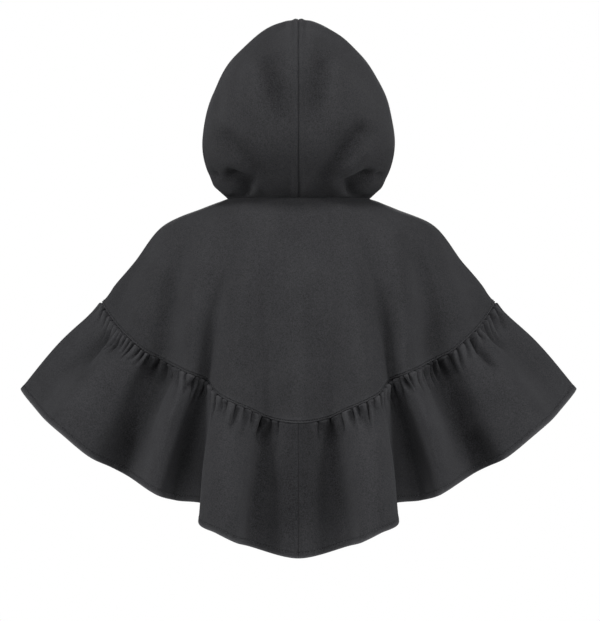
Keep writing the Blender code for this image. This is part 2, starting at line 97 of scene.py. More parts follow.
sections = {
    "jaw": (-82, 15, 95, -14, 19, 30, 76, -8),
    "cheek": (-105, 46, 104.5, -10, 46, 60, 88, 30),
    "temple": (-115, 86, 104.5, -2, 74, 80, 94, 72),
    "brow": (-109, 126, 96, 4, 111, 83, 98, 112),
    "high": (-86, 162, 77, 12, 145, 70, 98, 145),
    "crown": (-34, 192, 48, 28, 173, 44, 92, 169),
    "front": (28, 196, 24, 60, 186, 22, 84, 180),
    "forehead": (76, 184, 0.4, 78, 184, 0.4, 80, 184),
}
sideShare = 0.56
# How far a hood section's curve is drawn out at each end of a span, in shares of the span.
hoodHandles = {
    "seam": (0.5936, 0.02, 0.1),
    "side": (0, 0.56, 0.448),
    "front": (0.02, 0.42, 0.35),
    "edge": (0.45, 0.3, 0.4),
}
# The steps over which slopes are taken.
slopeSteps = {"around": 1.2, "level": 0.03, "across": 0.01, "height": 0.04}


def row(table, columns, name):
    return dict(zip(columns, table[name]))


def ease(value, start, end):
    t = np.clip((value - start) / (end - start), 0, 1)
    return t * t * (3 - 2 * t)


def unit(vectors):
    return vectors / np.maximum(np.linalg.norm(vectors, axis=-1, keepdims=True), 1e-9)


def slopesOf(knots, values):
    # Values run along the axis before the last.
    step = np.diff(knots)
    rise = np.diff(values, axis=-2) / step[:, None]
    before = (step[:-1] / (step[:-1] + step[1:]))[:, None]
    middle = rise[..., :-1, :] * (1 - before) + rise[..., 1:, :] * before
    return np.concatenate([rise[..., :1, :], middle, rise[..., -1:, :]], axis=-2)


def splineAt(knots, values, at):
    # One curve for all the places, or one curve for each place.
    slopes = slopesOf(knots, values)
    i = np.clip(np.searchsorted(knots, at) - 1, 0, len(knots) - 2)
    pick = (lambda a, k: a[k]) if values.ndim == 2 else (lambda a, k: a[np.arange(len(k)), k])
    span = np.diff(knots)[i][:, None]
    t = ((at - knots[i]) / span[:, 0])[:, None]
    rest = 1 - t
    return (
        pick(values, i) * (1 + 2 * t) * rest * rest
        + pick(slopes, i) * span * t * rest * rest
        + pick(values, i + 1) * t * t * (3 - 2 * t)
        - pick(slopes, i + 1) * span * t * t * rest
    )


def ringPoint(ring, azimuth):
    angle = math.radians(azimuth)
    toward = math.cos(angle)
    face = "back" if toward > 0 else "front"
    middleY, middleZ = ring[face + "Y"], ring[face + "Z"]
    z = ring["sideZ"] + (middleZ - ring["sideZ"]) * abs(toward) ** ringBow
    return np.array((-ring["sideX"] * math.sin(angle), middleY * abs(toward), z))


def foldLines():
    allRings = [row(rings, ringColumns, name) for name in rings]
    lines = []
    for name in folds:
        fold = row(folds, foldColumns, name)
        seam = np.array((-fold["seamX"], fold["seamY"], fold["seamZ"]), float)
        hem = np.array((-fold["hemX"], fold["hemY"], fold["hemZ"]), float)
        relief = seam - ringPoint(allRings[-1], fold["azimuth"])
        shares = [ring["folded"] for ring in allRings]
        line = [ringPoint(ring, fold["azimuth"]) + relief * (share**2, share, share**2)
                for ring, share in zip(allRings, shares)]
        swing = unit(seam * (1, 1, 0)) * fold["bow"]
        lines.append(line + [seam + (hem - seam) * bowAt + swing, hem])
    return np.array(lines)


lines = foldLines()
seamLevel = len(rings) - 1
hemLevel = seamLevel + 2
levels = np.arange(hemLevel + 1, dtype=float)
steps = (np.linalg.norm(np.diff(lines[:, seamLevel], axis=0), axis=1)
         + np.linalg.norm(np.diff(lines[:, hemLevel], axis=0), axis=1)) / 2
aroundKnots = np.concatenate([[0], np.cumsum(steps)])
seamLapLevels = seamLap / levelLength
neckLapLevels = 3 * seamLapLevels
allKnots = np.concatenate([[-aroundKnots[1]], aroundKnots])
# Lines by levels by coordinates, with the mirror image of the second line ahead of the first.
allLines = np.concatenate([lines[1:2] * (-1, 1, 1), lines])
sideSeam = aroundKnots[sideSeamRow]
frontEdge = aroundKnots[-1]


def clothAt(around, level):
    flip = np.where(around < 0, -1.0, 1.0)
    shape = allLines.swapaxes(0, 1).reshape(len(levels), -1)
    across = splineAt(levels, shape, level).reshape(len(level), len(allKnots), 3)
    points = splineAt(allKnots, across, np.abs(around))
    points[:, 0] *= flip
    return points


def yokeSeamAt(around):
    return clothAt(around, np.full(len(around), float(seamLevel)))


def clothForm(around, level):
    # Points of the cape's outer surface and its outward normals, on either half.
    flip = np.where(around < 0, -1.0, 1.0)
    place = np.abs(around)
    reach, step = slopeSteps["around"], slopeSteps["level"]
    ahead = np.minimum(place + reach, frontEdge)
    along = clothAt(ahead, level) - clothAt(ahead - 2 * reach, level)
    below, above = np.minimum(level + step, hemLevel), np.maximum(level - step, 0)
    down = clothAt(place, below) - clothAt(place, above)
    normals = unit(np.cross(along, down))
    edgeShare = (1 - ease(level, 0, levelEdgeTo))[:, None]
    levelNormals = unit(np.cross(along * (1, 1, 0), (0, 0, -1)))
    normals = unit(normals * (1 - edgeShare) + levelNormals * edgeShare)
    points = clothAt(place, level)
    mirror = np.stack([flip, np.ones_like(flip), np.ones_like(flip)], axis=1)
    return points * mirror, normals * mirror


def bezier(handles, t):
    rest = 1 - t
    return (handles[0] * rest**3 + handles[1] * 3 * t * rest * rest
            + handles[2] * 3 * t * t * rest + handles[3] * t**3)


def sectionAt(section, across):
    seam = np.array((0, section["seamY"], section["seamZ"]), float)
    side = np.array((-section["sideX"], section["sideY"], section["sideZ"]), float)
    edge = np.array((-section["edgeX"], section["edgeY"], section["edgeZ"]), float)
    reach = edge - side
    back = side - seam
    behind = (seam, seam + back * hoodHandles["seam"], side - back * hoodHandles["side"], side)
    before = (side, side + reach * hoodHandles["front"], edge - reach * hoodHandles["edge"], edge)
    t = across[:, None]
    pastSide = (t - sideShare) / (1 - sideShare)
    return np.where(t < sideShare, bezier(behind, t / sideShare), bezier(before, pastSide))


hoodTop = len(sections)
hoodKnots = np.arange(hoodTop + 1, dtype=float)


def acrossToNeck(across):
    return np.interp(across, (0, sideShare, 1), (0, sideSeam, frontEdge))


def hoodAt(across, height):
    neck = clothAt(acrossToNeck(across), np.zeros(len(across)))
    curves = [neck] + [sectionAt(row(sections, sectionColumns, name), across) for name in sections]
    return splineAt(hoodKnots, np.stack(curves, axis=1), height)


def hoodForm(across, height):
    # Points of the hood's outer surface and its outward normals, which stop changing close below its top.
    sideStep, upStep = slopeSteps["across"], slopeSteps["height"]
    behind, ahead = np.maximum(across - sideStep, 0), np.minimum(across + sideStep, 1)
    above = np.minimum(height + upStep, hoodTop - 0.1)
    below = np.minimum(np.maximum(height - upStep, 0), above - upStep)
    nearTop = np.minimum(height, hoodTop - 0.12)
    along = hoodAt(ahead, nearTop) - hoodAt(behind, nearTop)
    up = hoodAt(across, above) - hoodAt(across, below)
    normals = unit(np.cross(up, along))
    edgeShare = (1 - ease(height, 0, levelEdgeTo))[:, None]
    levelNormals = unit(np.cross((0, 0, 1), along * (1, 1, 0)))
    normals = unit(normals * (1 - edgeShare) + levelNormals * edgeShare)
    normals[across == 0, 0] = 0
    return hoodAt(across, height), unit(normals)


def spaced(length, fromStart, step, fromEnd):
    # Distances along a length: close at its two ends, and evenly spaced between them.
    first, last = fromStart[-1], length - fromEnd[-1]
    count = max(int(round(float(np.mean(last - first)) / step)), 2)
    middle = [first + (last - first) * k / count for k in range(1, count)]
    starts = [0 * length + d for d in fromStart]
    ends = [length - d for d in fromEnd[::-1]]
    return np.array(starts + middle + ends)


closeColumns = (0, 0.25, 0.6, 1.1, 1.8)


def columnPlaces(place, span, step):
    # Column places between two limits, spaced along the curve that place() gives.
    fine = np.linspace(*span, 900)
    points = place(fine)
    run = np.concatenate([[0], np.cumsum(np.linalg.norm(np.diff(points, axis=0), axis=1))])
    return np.interp(spaced(run[-1], closeColumns, step, closeColumns), run, fine)


def clothGrid(form, columns, span, fromTop, step, fromBottom):
    # A grid of points and normals whose rows lie at true distances along each column.
    samples = np.linspace(*span, 61)
    mesh = [form(columns, np.full(len(columns), s))[0] for s in samples]
    run = np.concatenate([np.zeros((1, len(columns))),
                          np.cumsum(np.linalg.norm(np.diff(np.array(mesh), axis=0), axis=2), axis=0)])
    drops = spaced(run[-1], fromTop, step, fromBottom)
    places = np.stack([np.interp(drops[:, k], run[:, k], samples) for k in range(len(columns))], axis=1)
    points, normals = form(np.tile(columns, len(drops)), places.ravel())
    shape = (*drops.shape, 3)
    points, normals = points.reshape(shape), normals.reshape(shape)
    sideways = np.linalg.norm(np.diff(points, axis=1), axis=2)
    start = np.concatenate([np.zeros((len(drops), 1)), np.cumsum(sideways, axis=1)], axis=1)
    return {
        "columns": columns,
        "points": points,
        "normals": normals,
        "top": drops,
        "bottom": run[-1] - drops,
        "start": start,
        "end": start[:, -1:] - start,
    }


def groove(distance, at, width):
    return np.exp(-(((distance - at) / width) ** 2))


def ripple(run, seed, pitch):
    # A smooth uneven wave from -1 to 1 along a run.
    chance = random.Random(seed)
    count = int(run.max() / pitch) + 6
    heights = np.array([chance.uniform(-1, 1) for _ in range(count)])
    places = np.cumsum([chance.uniform(0.6, 1.4) * pitch for _ in range(count)]) - 2 * pitch
    return np.interp(run, places, heights) * 0.5 + np.interp(run + pitch * 0.35, places, heights) * 0.5


def undulation(points, seed, pitch):
    # The cloth's own soft unevenness.
    chance = random.Random(seed)
    total = 0
    for _ in range(5):
        direction = np.array([chance.uniform(-1, 1) for _ in range(3)])
        total = total + np.sin(points @ unit(direction) * math.tau / (pitch * chance.uniform(0.6, 1.6))
                               + chance.uniform(0, math.tau))
    return total / 5


creaseColumns = ("fromX", "fromY", "toX", "toY", "lift", "near", "far", "fade")


def creased(points, table):
    # How far the creases of a table lift or sink the cloth. Their ends and reaches are in picture
    # units, as seen from the camera, and they lie on the back half alone.
    lift = np.zeros(points.shape[:-1])
    closer = photo["distance"] / (photo["distance"] + points[..., 1])
    seenX = photo["originX"] + points[..., 0] * closer / photo["scale"]
    height = points[..., 2] + (closer - 1) * (points[..., 2] + photo["eyeDrop"])
    seenY = photo["originY"] - height / photo["scale"]
    behind = ease(-points[..., 1], -10, 30)
    for name in table:
        crease = row(table, creaseColumns, name)
        start = np.array((crease["fromX"], crease["fromY"]), float)
        run = np.array((crease["toX"], crease["toY"])) - start
        here = np.stack([seenX, seenY], axis=-1) - start
        along = here @ run / (run @ run)
        t = np.clip(along, 0, 1)
        away = np.linalg.norm(here - run * t[..., None], axis=-1)
        reach = crease["near"] + (crease["far"] - crease["near"]) * t
        ending = 1 - ease(t, crease["fade"], 1.001)
        lift = lift + crease["lift"] * np.exp(-((away / reach) ** 2)) * ending * behind
    return lift


deepestShade = 0.8  # how much painted shade is laid where the cloth is sunk deepest


def sunkShade(lift, depth):
    # How much painted shade lies where the cloth is sunk.
    return deepestShade * np.clip(-lift / depth, 0, 1)


def relief(distance, ridges):
    # Ridges and hollows along an edge or a seam: the height, the distance and the width of each.
    return sum(height * groove(distance, at, width) for height, at, width in ridges)


def paintedFoldShade(columns, table):
    # How much painted shade lies down in the long folds, for each column of a grid.
    total = np.zeros(len(columns))
    for name, (shift, width, strength) in table.items():
        total += strength * groove(columns, aroundKnots[list(folds).index(name)] + shift, width)
    return total[None, :]


def sheetObject(name, grid, outer, inner, paintedLight, material):
    # A closed sheet of cloth: an outer and an inner grid that share their rim.
    bm = bmesh.new()
    # Each point's painted light: painted shade in hollows, creases and grooves, a painted highlight on
    # edges and crests.
    paintedLightLayer = bm.verts.layers.float.new("paintedLight")
    rows, columns = outer.shape
    for lift in (outer, inner):
        made = bmesh.ops.create_grid(bm, x_segments=columns - 1, y_segments=rows - 1, size=1)["verts"]
        places = (grid["points"] + grid["normals"] * lift[..., None]) * mm
        for vert in made:
            k = round((vert.co.x + 1) / 2 * (columns - 1))
            r = round((vert.co.y + 1) / 2 * (rows - 1))
            vert.co = places[r, k]
            vert[paintedLightLayer] = paintedLight[r, k]
    bmesh.ops.remove_doubles(bm, verts=bm.verts, dist=0.002 * mm)
    bmesh.ops.recalc_face_normals(bm, faces=bm.faces)
    return addObject(name, bm, material)


def addObject(name, bm, material):
    data = bpy.data.meshes.new(name)
    bm.to_mesh(data)
    bm.free()
    data.materials.append(material)
    data.shade_smooth()
    piece = bpy.data.objects.new(name, data)
    bpy.context.collection.objects.link(piece)
    return piece


stitching = {"pitch": 3.4, "length": 2.5, "width": 0.24, "lift": 0.05, "seed": 5, "uneven": (0.9, 1.05)}


def stitchLine(bm, points, normals, spec):
    # Short stitches along a line of points, sunk a little into the cloth.
    steps = np.linalg.norm(np.diff(points, axis=0), axis=1)
    run = np.concatenate([[0], np.cumsum(steps)])
    chance = random.Random(spec["seed"])
    for place in np.arange(spec["pitch"], run[-1] - spec["pitch"], spec["pitch"]):
        ends = [np.array([np.interp(place + s, run, points[:, k]) for k in range(3)])
                for s in (-0.4, 0.4)]
        up = unit(np.array([np.interp(place, run, normals[:, k]) for k in range(3)]))
        along = Vector(unit(ends[1] - ends[0]))
        side = along.cross(Vector(up)).normalized()
        turn = Matrix((along, side, side.cross(along) * -1)).transposed().to_4x4()
        halfLength = spec["length"] / 2 * chance.uniform(*spec["uneven"])
        size = Matrix.Diagonal((halfLength, spec["width"], spec["width"], 1))
        middle = Matrix.Translation(Vector((ends[0] + ends[1]) / 2 + up * spec["lift"]))
        placed = Matrix.Scale(mm, 4) @ middle @ turn @ size
        bmesh.ops.create_icosphere(bm, subdivisions=1, radius=1, matrix=placed)


def gridLine(grid, lift, edge, distance):
    # The line at a distance from one edge of a grid, on its lifted surface.
    across = grid[edge]
    places = grid["points"] + grid["normals"] * lift[..., None]
    vertical = edge in ("top", "bottom")
    order = slice(None) if edge in ("top", "start") else slice(None, None, -1)
    found = []
    for k in range(across.shape[1] if vertical else across.shape[0]):
        cut = (slice(None), k) if vertical else (k, slice(None))
        d, p, n = across[cut][order], places[cut][order], grid["normals"][cut][order]
        found.append(([np.interp(distance, d, p[:, c]) for c in range(3)],
                      [np.interp(distance, d, n[:, c]) for c in range(3)]))
    return np.array([f[0] for f in found]), np.array([f[1] for f in found])


# Camera and light
def makeCamera():
    data = bpy.data.cameras.new("camera")
    data.sensor_width = 36
    data.sensor_fit = "HORIZONTAL"
    data.lens = 36 * photo["distance"] / (photo["width"] * photo["scale"])
    data.clip_end = 30
    camera = bpy.data.objects.new("camera", data)
    x = (photo["width"] / 2 - photo["originX"]) * photo["scale"]
    z = (photo["originY"] - photo["height"] / 2) * photo["scale"]
    camera.location = Vector((x, -photo["distance"], z)) * mm
    camera.rotation_euler = (math.radians(90), 0, 0)
    bpy.context.collection.objects.link(camera)
    bpy.context.scene.camera = camera


# Place in metres, width of the disc and power.
lamps = {
    "left": ((-2.7, -1.3, 0.9), 0.8, 53),
    "right": ((2.7, -1.3, 0.9), 0.8, 49),
    "top": ((0.0, -1.6, 2.4), 0.8, 52),
    "camera": ((0.0, -3.4, 0.1), 1.0, 16),
    "front": ((0.1, 3.2, 0.4), 1.6, 90),
}
lampsAim = (0, 0, -0.1)
# What lights the cape from all round, and what the camera sees behind it.
skies = {"light": ((0.97, 0.98, 1.0), 0.03), "seen": ((1, 1, 1), 1.0)}
floorPlan = {
    "radius": 1.7,
    "height": -0.62,
    "segments": 128,
    "colour": (0.75, 0.75, 0.75),
    "roughness": 0.9,
}


def makeLights():
    for name, (place, size, power) in lamps.items():
        data = bpy.data.lights.new(name, "AREA")
        data.shape = "DISK"
        data.size = size
        data.energy = power
        lamp = bpy.data.objects.new(name, data)
        lamp.location = place
        aim = Vector(lampsAim) - Vector(place)
        lamp.rotation_euler = aim.to_track_quat("-Z", "Y").to_euler()
        bpy.context.collection.objects.link(lamp)
    world = bpy.data.worlds.new("studio")
    bpy.context.scene.world = world
    world.use_nodes = True
    tree = world.node_tree
    tree.nodes.clear()
    out = tree.nodes.new("ShaderNodeOutputWorld")
    mix = tree.nodes.new("ShaderNodeMixShader")
    path = tree.nodes.new("ShaderNodeLightPath")
    for k, (colour, strength) in enumerate(skies.values()):
        sky = tree.nodes.new("ShaderNodeBackground")
        sky.inputs["Color"].default_value = (*colour, 1)
        sky.inputs["Strength"].default_value = strength
        tree.links.new(sky.outputs[0], mix.inputs[k + 1])
    tree.links.new(path.outputs["Is Camera Ray"], mix.inputs[0])
    tree.links.new(mix.outputs[0], out.inputs[0])
    bpy.context.scene.view_settings.view_transform = "Standard"


def makeFloor():
    bm = bmesh.new()
    size = {"segments": floorPlan["segments"], "radius": floorPlan["radius"]}
    bmesh.ops.create_circle(bm, cap_ends=True, **size)
    floor = addObject("floor", bm, floorMaterial())
    floor.location = (0, 0, floorPlan["height"])


def floorMaterial():
    material = bpy.data.materials.new("floor_white")
    material.use_nodes = True
    shader = material.node_tree.nodes["Principled BSDF"]
    shader.inputs["Base Color"].default_value = (*floorPlan["colour"], 1)
    shader.inputs["Roughness"].default_value = floorPlan["roughness"]
    return material


# Felt. Each noise has its scale, detail and roughness.
brushed = {
    "flecks": (850, 3, 0.85),
    "fleckGain": 1.9,
    "fleckBase": -0.68,
    "mottle": (300, 2, 0.6),
    "mottleShare": 0.25,
    "broad": (24, 2, 0.5),
    "broadShare": 0.4,
    # How far the painted light moves the colour along the dark-to-light mix, and how far a painted
    # highlight moves it toward the pale colour below.
    "paintedLightShare": 0.5,
    "paleShare": 0.6,
    "pale": (0.12, 0.12, 0.125, 1),
}
fibre = {
    "fine": (1500, 4, 0.7),
    "fineShare": 0.6,
    "tufts": (700, 2, 0.6),
    "tuftShare": 0.3,
    "strength": 0.35,
}


def groupSocket(group, name, direction, kind, value=None):
    socket = group.interface.new_socket(name=name, in_out=direction, socket_type=kind)
    if value is not None:
        socket.default_value = value


def noiseNode(tree, vector, scale, detail, roughness):
    noise = tree.nodes.new("ShaderNodeTexNoise")
    noise.inputs["Scale"].default_value = scale
    noise.inputs["Detail"].default_value = detail
    noise.inputs["Roughness"].default_value = roughness
    tree.links.new(vector, noise.inputs["Vector"])
    return noise.outputs["Fac"]


def mathNode(tree, operation, a, b):
    node = tree.nodes.new("ShaderNodeMath")
    node.operation = operation
    for socket, value in zip(node.inputs, (a, b)):
        if isinstance(value, (int, float)):
            socket.default_value = value
        else:
            tree.links.new(value, socket)
    return node.outputs[0]


def heatherGroup():
    # Uneven brushed colour: fine flecks and soft mottling, with the painted light laid over them: darker
    # for painted shade, paler toward the pale colour for a painted highlight.
    group = bpy.data.node_groups.new("heather", "ShaderNodeTree")
    groupSocket(group, "Coordinate", "INPUT", "NodeSocketVector")
    groupSocket(group, "Dark", "INPUT", "NodeSocketColor", (0.02, 0.02, 0.022, 1))
    groupSocket(group, "Light", "INPUT", "NodeSocketColor", (0.05, 0.05, 0.053, 1))
    groupSocket(group, "Pale", "INPUT", "NodeSocketColor", brushed["pale"])
    groupSocket(group, "PaintedLight", "INPUT", "NodeSocketFloat", 0.0)
    groupSocket(group, "Colour", "OUTPUT", "NodeSocketColor")
    ins = group.nodes.new("NodeGroupInput")
    outs = group.nodes.new("NodeGroupOutput")
    place = ins.outputs["Coordinate"]
    flecks = noiseNode(group, place, *brushed["flecks"])
    mottle = noiseNode(group, place, *brushed["mottle"])
    broad = noiseNode(group, place, *brushed["broad"])
    value = mathNode(group, "MULTIPLY_ADD", flecks, brushed["fleckGain"])
    value.node.inputs[2].default_value = brushed["fleckBase"]
    paintedLight = ins.outputs["PaintedLight"]
    for source, share in ((mottle, "mottleShare"), (broad, "broadShare"), (paintedLight, "paintedLightShare")):
        value = mathNode(group, "ADD", value, mathNode(group, "MULTIPLY", source, brushed[share]))
    mix = group.nodes.new("ShaderNodeMix")
    mix.data_type = "RGBA"
    group.links.new(value, mix.inputs["Factor"])
    group.links.new(ins.outputs["Dark"], mix.inputs["A"])
    group.links.new(ins.outputs["Light"], mix.inputs["B"])
    edge = group.nodes.new("ShaderNodeMix")
    edge.data_type = "RGBA"
    # The painted highlight moves the colour toward the pale one; painted shade does not reach this mix.
    paintedHighlight = mathNode(group, "MULTIPLY", paintedLight, brushed["paleShare"])
    group.links.new(paintedHighlight, edge.inputs["Factor"])
    group.links.new(mix.outputs["Result"], edge.inputs["A"])
    group.links.new(ins.outputs["Pale"], edge.inputs["B"])
    group.links.new(edge.outputs["Result"], outs.inputs["Colour"])
    return group


def napGroup():
    # The raised fibres of the brushed face, as a normal.
    group = bpy.data.node_groups.new("nap", "ShaderNodeTree")
    groupSocket(group, "Coordinate", "INPUT", "NodeSocketVector")
    groupSocket(group, "Depth", "INPUT", "NodeSocketFloat", 0.0003)
    groupSocket(group, "Normal", "OUTPUT", "NodeSocketVector")
    ins = group.nodes.new("NodeGroupInput")
    outs = group.nodes.new("NodeGroupOutput")
    place = ins.outputs["Coordinate"]
    fine = mathNode(group, "MULTIPLY", noiseNode(group, place, *fibre["fine"]), fibre["fineShare"])
    tufts = mathNode(group, "MULTIPLY", noiseNode(group, place, *fibre["tufts"]), fibre["tuftShare"])
    height = mathNode(group, "ADD", fine, tufts)
    bump = group.nodes.new("ShaderNodeBump")
    bump.inputs["Strength"].default_value = fibre["strength"]
    group.links.new(ins.outputs["Depth"], bump.inputs["Distance"])
    group.links.new(height, bump.inputs["Height"])
    group.links.new(bump.outputs["Normal"], outs.inputs["Normal"])
    return group


def feltMaterial(name, spec):
    material = bpy.data.materials.new(name)
    material.use_nodes = True
    tree = material.node_tree
    shader = tree.nodes["Principled BSDF"]
    place = tree.nodes.new("ShaderNodeTexCoord")
    stretch = tree.nodes.new("ShaderNodeMapping")
    stretch.inputs["Scale"].default_value = spec["grain"]
    tree.links.new(place.outputs["Object"], stretch.inputs["Vector"])
    paintedLight = tree.nodes.new("ShaderNodeAttribute")
    paintedLight.attribute_name = "paintedLight"
    colour = tree.nodes.new("ShaderNodeGroup")
    colour.node_tree = heather
    colour.inputs["Dark"].default_value = (*spec["dark"], 1)
    colour.inputs["Light"].default_value = (*spec["light"], 1)
    tree.links.new(stretch.outputs[0], colour.inputs["Coordinate"])
    tree.links.new(paintedLight.outputs["Fac"], colour.inputs["PaintedLight"])
    tree.links.new(colour.outputs["Colour"], shader.inputs["Base Color"])
    pileAndEdgeHighlight = tree.nodes.new("ShaderNodeGroup")
    pileAndEdgeHighlight.node_tree = nap
    pileAndEdgeHighlight.inputs["Depth"].default_value = spec["pileAndEdgeHighlight"]
    tree.links.new(stretch.outputs[0], pileAndEdgeHighlight.inputs["Coordinate"])
    tree.links.new(pileAndEdgeHighlight.outputs["Normal"], shader.inputs["Normal"])
    shader.inputs["Roughness"].default_value = spec["roughness"]
    shader.inputs["Specular IOR Level"].default_value = spec["specular"]
    shader.inputs["Sheen Weight"].default_value = spec["sheen"]
    shader.inputs["Sheen Roughness"].default_value = spec["sheenRoughness"]
    shader.inputs["Sheen Tint"].default_value = (*spec["sheenTint"], 1)
    return material


plainBump = {"strength": 0.3, "distance": 0.0002}


def plainMaterial(name, colour, roughness, bumpScale):
    material = bpy.data.materials.new(name)
    material.use_nodes = True
    tree = material.node_tree
    shader = tree.nodes["Principled BSDF"]
    shader.inputs["Base Color"].default_value = (*colour, 1)
    shader.inputs["Roughness"].default_value = roughness
    place = tree.nodes.new("ShaderNodeTexCoord")
    bump = tree.nodes.new("ShaderNodeBump")
    bump.inputs["Strength"].default_value = plainBump["strength"]
    bump.inputs["Distance"].default_value = plainBump["distance"]
    tree.links.new(noiseNode(tree, place.outputs["Object"], bumpScale, 2, 0.5), bump.inputs["Height"])
    tree.links.new(bump.outputs["Normal"], shader.inputs["Normal"])
    return material


heather = heatherGroup()
nap = napGroup()
feltSpec = {
    "dark": (0.0105, 0.0106, 0.0114),
    "light": (0.0485, 0.0486, 0.0515),
    "grain": (1, 1, 0.8),  # the pile is brushed downwards, so its noise is drawn out that way
    "pileAndEdgeHighlight": 0.0004,
    "roughness": 0.95,
    "specular": 0.04,
    "sheen": 0.05,
    "sheenRoughness": 0.55,
    "sheenTint": (0.8, 0.8, 0.84),
}
hoodFelt = feltMaterial("hood_felt", feltSpec)
# The yoke's and the ruffle's felt are the hood's felt painted a shade darker: painted shade on one and
# the same felt.
yokeFelt = feltMaterial("yoke_felt", {**feltSpec, "light": (0.0458, 0.0459, 0.0488)})
ruffleFelt = feltMaterial("ruffle_felt", {**feltSpec, "light": (0.048, 0.0481, 0.0513)})
thread = plainMaterial("thread", (0.03, 0.03, 0.032), 0.6, 3000)
buttonPlastic = plainMaterial("button_plastic", (0.014, 0.014, 0.015), 0.35, 500)
loopCord = plainMaterial("loop_cord", (0.02, 0.02, 0.021), 0.75, 1800)
makeCamera()
makeLights()
makeFloor()
print("camera, light and materials ready")


def roundedEdges(grid):
    # The outer and inner wall of a plain sheet, whose four rounded edges meet inside its thickness.
    nearest = np.minimum.reduce([grid[edge] for edge in ("top", "bottom", "start", "end")])
    close = np.clip(1 - nearest / rim, 0, 1)
    turned = 1 - np.sqrt(1 - close**2)
    return -rim * turned, -wall + (wall - rim) * turned


# Hood
hood = {
    "columnStep": 2.6,
    "rowStep": 2.8,
    "columnsAt": 2.5,  # the section along which the columns are evenly spaced
    "fromEdges": (0, 0.3, 0.7, 1.3, 2.2, 3.4),
    "fromTop": (0, 0.4, 1, 2),
    "hemWidth": 12,
    "hemGroove": (0.45, 0.9),
    "seamRidges": ((0.8, 3.6, 2.2), (-0.4, 8, 3), (-0.4, 0, 1.2)),
    "seamPucker": (0.45, 11, 7),  # height, pitch and how far it reaches
    "neckPucker": (0.7, 12, 9),
    "unevenness": (1.1, 55),
    # Painted light: how deep a crease is where its painted shade is fullest, how far the painted
    # highlight reaches in from the front edge, and the strength and reach of the painted shade beside the
    # seam.
    "creaseDepth": 9,
    "edgeHighlight": 1.5,
    "seamShade": (0.3, 1.2),
    "creases": {
        "left": {
            "dimple": (229, 176, 253, 188, -11, 6, 8.5, 0.95),
            "cornerSpot": (214, 174, 219, 177, -6, 3.2, 3.2, 0.9),
            "cornerFold": (218, 176, 243, 196, 2.2, 2.4, 4, 0.85),
            "cornerLobe": (217, 185, 232, 197, 3, 6, 6, 0.9),
            "foot": (252, 197, 262, 186, 1.4, 4, 5, 0.5),
            "cheek": (226, 140, 276, 190, -5, 12, 13, 0.6),
            "besideSeam": (265, 64, 284, 140, -5.5, 12, 15, 0.35),
            "crownRidge": (250, 74, 238, 126, 1.6, 10, 12, 0.4),
            "upperLeft": (282, 25, 258, 38, -1.6, 2, 2.5, 0.4),
        },
        "right": {
            "dimple": (369, 176, 345, 189, -11, 6, 8.5, 0.95),
            "cornerSpot": (381, 175, 376, 178, -6, 3.2, 3.2, 0.9),
            "cornerFold": (378, 177, 354, 196, 2.2, 2.4, 4, 0.85),
            "cornerLobe": (378, 186, 365, 198, 3, 6, 6, 0.9),
            "foot": (334, 187, 342, 198, 1.4, 4, 5, 0.5),
            "cheek": (362, 132, 302, 200, -6.5, 9, 10, 0.6),
            "besideSeam": (322, 64, 310, 142, -5.5, 12, 14, 0.4),
            "crownRidge": (344, 72, 336, 118, 1.6, 10, 12, 0.4),
            "jawRidge": (366, 154, 338, 178, 2, 6, 7, 0.5),
        },
    },
}


def makeHood(half, side):
    evenly = lambda across: hoodAt(across, np.full(len(across), hood["columnsAt"]))
    columns = columnPlaces(evenly, (0, 1), hood["columnStep"])
    heights = (-neckLapLevels, hoodTop)
    grid = clothGrid(hoodForm, columns, heights, hood["fromEdges"], hood["rowStep"], hood["fromTop"])
    seam, edge, neck = grid["start"], grid["end"], grid["top"]
    outer, inner = roundedEdges(grid)
    settle = ease(neck, 0, 9) * ease(edge, 0, 6)
    places = grid["points"] * (side, 1, 1)
    creases = creased(places, hood["creases"][half]) * settle
    shape = creases + relief(seam, hood["seamRidges"])
    height, pitch, reach = hood["seamPucker"]
    shape += height * ripple(neck, seeds[half], pitch) * np.exp(-seam / reach) * ease(seam, 0, 1.5)
    height, pitch, reach = hood["neckPucker"]
    pucker = height * ripple(seam, seeds[half] + 3, pitch) * np.exp(-neck / reach)
    shape += pucker * ease(neck, 0, 2) * ease(seam, 0, 4)
    height, pitch = hood["unevenness"]
    shape += height * undulation(grid["points"], seeds[half] + 5, pitch) * settle * ease(seam, 0, 20)
    depth, width = hood["hemGroove"]
    shape -= depth * groove(edge, hood["hemWidth"], width)
    outer, inner = outer + shape, inner + shape
    shade, reach = hood["seamShade"]
    # Painted light: a painted highlight along the front edge, painted shade in the sunk creases and
    # beside the seam.
    paintedLight = np.exp(-edge / hood["edgeHighlight"]) - sunkShade(creases, hood["creaseDepth"])
    paintedLight -= shade * np.exp(-seam / reach)
    if side < 0:
        for part in ("points", "normals"):
            grid[part] = grid[part] * (-1, 1, 1)
    piece = sheetObject(f"hood_{half}_cloth", grid, outer, inner, paintedLight, hoodFelt)
    return piece, grid, outer


# Yoke
yoke = {
    "columnStep": 2.7,
    "rowStep": 2.9,
    "fromEdges": (0, 0.2, 0.5, 0.9, 1.2, 1.55, 1.9, 2.25, 2.6, 3.4, 4.6),
    "edgeStitch": 1.9,
    "edgeRise": 0.9,  # the turned seam allowance lifts the edge this much
    "neckPucker": (0.6, 13, 10),
    "seamPucker": (0.35, 9, 9),
    "unevenness": (0.9, 75),
    # The painted highlight along the lower edge, its strength and how far up it reaches, and the strength
    # of the painted shade in the stitching groove.
    "edgeHighlight": (0.6, 0.9),
    "stitchShade": 0.6,
    # How far beside its fold line each band of painted shade lies, its width and its strength.
    "foldShades": {
        "deepTrough": (-8, 15, 0.5),
        "armTrough": (-4, 14, 0.4),
        "frontTrough": (0, 14, 0.4),
    },
}


